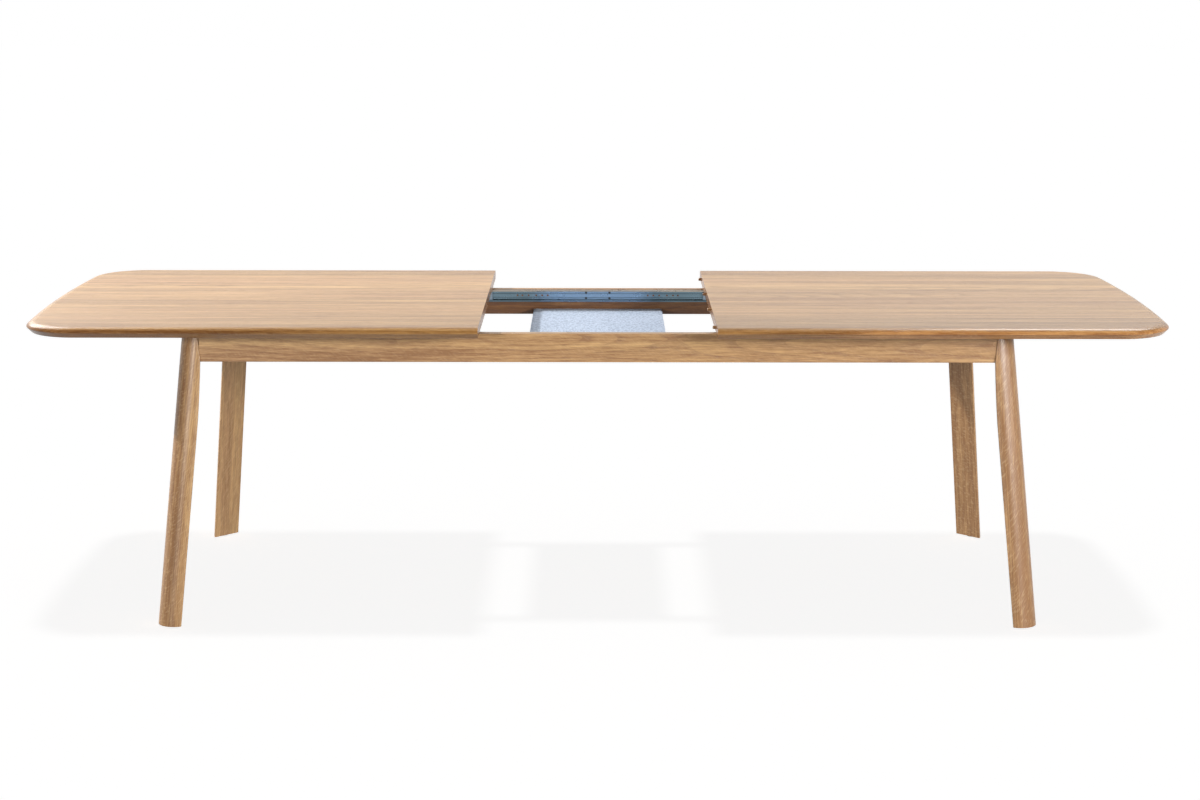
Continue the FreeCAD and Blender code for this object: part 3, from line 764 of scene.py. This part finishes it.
# The halves of the top lie in one log as they do when closed, with its middle at half their height
top_low, top_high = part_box("left_top")
top_middle = (top_low.z + top_high.z) / 2
slide_travel = frame["joints"][0]["range_m"][1]
boards = {}
for end, side_sign in top_sides.items():
    board = top_half(end)
    boards[end] = board
    closed_shift = (-side_sign * slide_travel, 0.0, -top_middle)
    dress(board, oak("oak_top_" + end, shift=closed_shift, staves=top_staves[end], cast=top_casts[end],
                     contrast=1.05, shade=0.60, roughness=(0.26, 0.36), specular=0.45))
    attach(board, end + "_half")
    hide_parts(end + "_top")

sheet = felt_sheet()
dress(sheet, felt())
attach(sheet, "frame")
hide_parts("leaf_felt")

# Each apron has its own place in a log, and the long ones get painted shade on the inside
apron_oak = {
    "front_apron": oak("oak_front_apron", shift=(0.3, 0.376, -0.68), pith=(0.14, 0.03), tilt=(0.012, 0.01),
                       contrast=1.1, shade=0.70, shaded_side=1),
    "back_apron": oak("oak_back_apron", shift=(1.9, -0.35, -0.68), pith=(0.13, -0.02), tilt=(0.014, 0.01),
                      contrast=1.1, shade=0.74, shaded_side=-1),
    "left_end_apron": oak("oak_left_end", turn=quarter_turn, shift=(4.1, 1.0, -0.68), pith=(0.12, 0.02)),
    "right_end_apron": oak("oak_right_end", turn=quarter_turn, shift=(5.3, -1.0, -0.68), pith=(0.12, -0.02)),
}
for name, material in apron_oak.items():
    dress(nodes[name], material)

for corner, (_, y_side) in corners.items():
    dress(nodes[corner + "_leg"], leg_oak(corner))
    block_oak = oak("oak_" + corner + "_block", turn=quarter_turn, shift=block_shift)
    dress(nodes[corner + "_corner_block"], block_oak)
    dress(nodes[corner + "_foot_glide"], nylon())
    dress(nodes[corner + "_runner"], oak("runner_" + corner, shift=runner_shifts[y_side]))
    dress(nodes[corner + "_rail"], brushed_metal("zinc_" + corner + "_rail", *rail_zinc))
    dress(nodes[corner + "_ball_cage"], brushed_metal("cage_" + corner, *cage_steel))
    dress(nodes[corner + "_balls"], brushed_metal("balls_" + corner, *ball_steel))

for side in ("front", "back"):
    dress(nodes[side + "_slide_channel"], channel_metal("zinc_" + side, *channel_zinc))
for name in steel_pieces:
    dress(nodes[name], brushed_metal("steel_" + name, *screw_steel))
dress(nodes["channel_screws"], brushed_metal("dark_steel", *dark_steel))
dress(nodes["leg_inserts"], brushed_metal("brass", *insert_brass))
dress(nodes["glide_pads"], nylon())
dress(nodes["leaf_board"], plywood("board"))
dress(nodes["dowel_pins"], oak("dowel_wood", shift=(dowel_shift, 0.0, -top_middle), shade=1.0, rays=0.0))


# Studio

# Floor: what it sends back to the table, its own white glow, and how much light and shadow shows on it
floor_size = 60.0
floor_bounce = 0.30
floor_glow = 0.885
floor_shade = 0.45

# World: its even light on the table, and how bright the studio is in gloss away from the backdrop
world_light = 0.10
dim_studio = 0.12

# Where the backdrop comes in towards the back and fades upwards, by the way that a ray goes
backdrop_front = (-0.20, 0.30)
backdrop_top = (0.35, 0.75)

# Light from above that draws the floor's shadow
sun_power = 0.50
sun_angle = 0.10
sun_place = (0.0, 0.0, 4.0)
sun_target = (0.0, -0.03, 3.0)

# Soft lamps, turned to the middle of the table: place, size and power in watts
table_middle = (0.0, 0.0, 0.7)
back_lamps = {
    "back_left": ((-4.0, 4.0, 4.0), (3.2, 3.2), 180.0),
    "over_right": ((2.4, 3.0, 4.4), (2.1, 1.8), 105.0),
}

# Lamps that the flat top doesn't mirror: seen from across the table, it would glare
side_lamps = {
    "key": ((-7.6, 2.1, 5.5), (0.3, 0.3), 965.0),
    "strip": ((2.5, -4.5, 1.8), (0.5, 1.8), 60.0),
    "front_right": ((4.0, -5.3, 1.9), (1.6, 1.0), 235.0),
    "front_left": ((-3.0, -5.5, 1.7), (1.6, 1.0), 140.0),
    "right": ((5.0, -2.6, 1.7), (1.5, 1.0), 85.0),
}


def studio_floor():
    """A plain white floor that keeps the soft shadow of the table."""
    mesh = bmesh.new()
    bmesh.ops.create_grid(mesh, x_segments=1, y_segments=1, size=floor_size / 2)
    data = bpy.data.meshes.new("floor")
    mesh.to_mesh(data)
    mesh.free()
    floor = bpy.data.objects.new("floor", data)
    bpy.context.scene.collection.objects.link(floor)
    material = bpy.data.materials.new("floor")
    g = Graph(material)
    lit = g.add("ShaderNodeBsdfDiffuse", grey(floor_bounce))
    faint = g.add("ShaderNodeBsdfDiffuse", grey(floor_shade))
    glow = g.add("ShaderNodeEmission", grey(1.0), floor_glow)
    white = g.add("ShaderNodeAddShader", faint, glow)
    output = g.nodes.new("ShaderNodeOutputMaterial")
    g.put(g.add("ShaderNodeMixShader", g.seen(), lit, white), output.inputs["Surface"])
    data.materials.append(material)
    return floor


def studio_world():
    """White to the eye, a white backdrop low behind the table for its gloss, and a faint even light."""
    world = bpy.data.worlds.new("studio")
    bpy.context.scene.world = world
    g = Graph(world)
    _, y, z = g.split(g.nodes.new("ShaderNodeTexCoord").outputs["Generated"])
    backdrop = g.math("MULTIPLY", g.rise(y, *backdrop_front), g.rise(z, *backdrop_top, 1.0, 0.0))
    strength = g.math("MAXIMUM", g.path("Is Camera Ray"), g.math("MAXIMUM", backdrop, dim_studio))
    light = g.add("ShaderNodeBackground", grey(1.0), world_light)
    white = g.add("ShaderNodeBackground", grey(1.0), strength)
    output = g.nodes.new("ShaderNodeOutputWorld")
    g.put(g.add("ShaderNodeMixShader", g.seen(), light, white), output.inputs["Surface"])


def add_lamp(data, place, target):
    """A lamp at a place, turned to a target and hidden from the camera."""
    lamp = bpy.data.objects.new(data.name, data)
    lamp.location = place
    way = Vector(target) - Vector(place)
    lamp.rotation_euler = way.to_track_quat("-Z", "Y").to_euler()
    lamp.visible_camera = False
    bpy.context.scene.collection.objects.link(lamp)
    return lamp


def lit_group(name, members, state):
    """A group of objects for lamps, which light it alone (INCLUDE) or leave it out (EXCLUDE)."""
    group = bpy.data.collections.new(name)
    for member in members:
        group.objects.link(member)
    for item in group.collection_objects:
        item.light_linking.link_state = state
    return group


def softbox(name, place, size, power, group, mirrored=True):
    """A soft lamp turned to the table, for a group of objects, which may mirror it in their gloss."""
    data = bpy.data.lights.new(name, "AREA")
    data.shape = "RECTANGLE"
    data.size = size[0]
    data.size_y = size[1]
    data.energy = power
    lamp = add_lamp(data, place, table_middle)
    lamp.visible_glossy = mirrored
    lamp.light_linking.receiver_collection = group


def overhead_sun(group):
    """A soft light from straight above for a group of objects."""
    data = bpy.data.lights.new("overhead", "SUN")
    data.energy = sun_power
    data.angle = sun_angle
    sun = add_lamp(data, sun_place, sun_target)
    sun.light_linking.receiver_collection = group


def studio_camera():
    """The photo's camera."""
    data = bpy.data.cameras.new("camera")
    data.sensor_width = camera_sensor
    data.lens = camera_lens
    camera = bpy.data.objects.new("camera", data)
    camera.location = camera_place
    turn = Matrix.Rotation(camera_yaw, 3, "Z") @ Matrix.Rotation(math.pi / 2 - camera_pitch, 3, "X")
    camera.rotation_euler = (turn @ Matrix.Rotation(camera_roll, 3, "Z")).to_euler()
    bpy.context.scene.collection.objects.link(camera)
    bpy.context.scene.camera = camera


studio_world()
floor = studio_floor()
overhead_sun(lit_group("floor_alone", [floor], "INCLUDE"))
table = lit_group("all_but_floor", [floor], "EXCLUDE")
below_top = lit_group("all_but_floor_and_top", [floor, *boards.values()], "EXCLUDE")
top = lit_group("top_alone", boards.values(), "INCLUDE")
for name, lamp in back_lamps.items():
    softbox(name, *lamp, table)
for name, lamp in side_lamps.items():
    softbox(name, *lamp, below_top)
    softbox(name + "_on_top", *lamp, top, mirrored=False)
studio_camera()
bpy.context.scene.view_settings.view_transform = "Standard"
